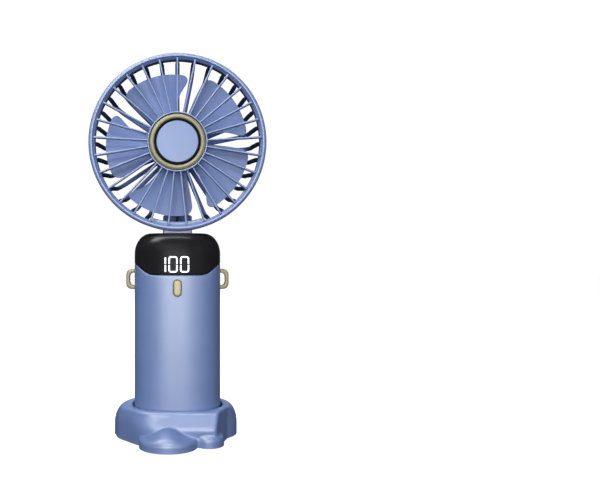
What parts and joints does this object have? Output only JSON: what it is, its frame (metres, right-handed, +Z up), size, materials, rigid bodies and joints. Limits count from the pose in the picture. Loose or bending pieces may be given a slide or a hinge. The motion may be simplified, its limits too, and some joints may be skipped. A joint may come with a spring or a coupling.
{
  "type": "handheld electric fan",
  "caption": "Folding handheld fan with a round caged head, five-blade rotor, digital display and push button, standing in a moulded cradle.",
  "frame": {"origin": "on the underside of the cradle's grip pad, directly below the axis of the handle", "axes": "+Z up along the handle to the head; -Y is the front, the side with the display, the button and the air outlet; +X is to the right seen from the front"},
  "size_m": [0.0918, 0.0638, 0.2015],
  "materials": {
    "blue_shell": "satin periwinkle-blue moulded plastic",
    "blue_blade": "satin lighter blue moulded plastic",
    "black_gloss": "piano-black gloss, slightly translucent over the display",
    "black_matte": "matt black moulded plastic",
    "display_light": "glowing white digits",
    "champagne_metal": "pale champagne-gold plated, satin",
    "cream_button": "pale cream-gold button, semi-gloss",
    "pale_plastic": "pale grey moulded plastic",
    "circuit_board": "green solder mask",
    "battery": "shrink-wrapped cell",
    "steel": "bright zinc-plated steel",
    "dark_steel": "dark laminated motor steel",
    "brass": "turned brass",
    "copper": "enamelled copper wire",
    "magnet": "bonded magnet",
    "lead": "black insulated lead",
    "rubber": "matt anti-slip rubber"
  },
  "bodies": {
    "cradle": {"base_shell": "blue_shell", "base_plate": "blue_shell", "grip_pad": "rubber", "plate_screw_1": "steel", "plate_screw_2": "steel", "plate_screw_3": "steel"},
    "handle": {"handle_sleeve": "blue_shell", "handle_end_cap": "blue_shell", "top_cap": "black_gloss", "hinge_bracket": "blue_shell", "hinge_pin": "steel", "hinge_washer": "steel", "hinge_nut": "steel", "lanyard_loop_left": "champagne_metal", "lanyard_loop_right": "champagne_metal", "button_bezel": "champagne_metal", "tact_switch": "black_matte", "display_module": "pale_plastic", "control_board": "circuit_board", "charge_board": "circuit_board", "port_shell": "steel", "port_tongue": "black_matte", "battery_cell": "battery", "inner_frame": "pale_plastic"},
    "button": {"power_button": "cream_button"},
    "head": {"neck": "blue_shell", "front_grille": "blue_shell", "trim_ring": "champagne_metal", "gap_ring": "black_matte", "hub_cap": "blue_shell", "shroud": "blue_shell", "rear_cage": "blue_shell", "rear_hub_cap": "blue_shell", "bearing_tube": "brass", "bearing_front": "steel", "bearing_rear": "steel", "stator_core": "dark_steel", "stator_coil_1": "copper", "stator_coil_2": "copper", "stator_coil_3": "copper", "stator_coil_4": "copper", "stator_coil_5": "copper", "stator_coil_6": "copper", "motor_board": "circuit_board", "motor_lead": "lead"},
    "rotor": {"impeller": "blue_blade", "rotor_bell": "dark_steel", "rotor_magnet": "magnet", "motor_shaft": "steel"}
  },
  "joints": [
    {"name": "handle_lift", "type": "slide", "parent": "cradle", "child": "handle", "axis": [0, 0, 1], "range_m": [0, 0.03]},
    {"name": "head_fold", "type": "hinge", "parent": "handle", "child": "head", "pos_m": [0, 0.0045, 0.095], "axis": [1, 0, 0], "range_deg": [-90, 0]},
    {"name": "button_press", "type": "slide", "parent": "handle", "child": "button", "axis": [0, 1, 0], "range_m": [0, 0.0006], "stiffness_N_per_m": 400},
    {"name": "rotor_spin", "type": "hinge", "parent": "head", "child": "rotor", "pos_m": [0, 0, 0.1555], "axis": [0, 1, 0], "continuous": true}
  ]
}
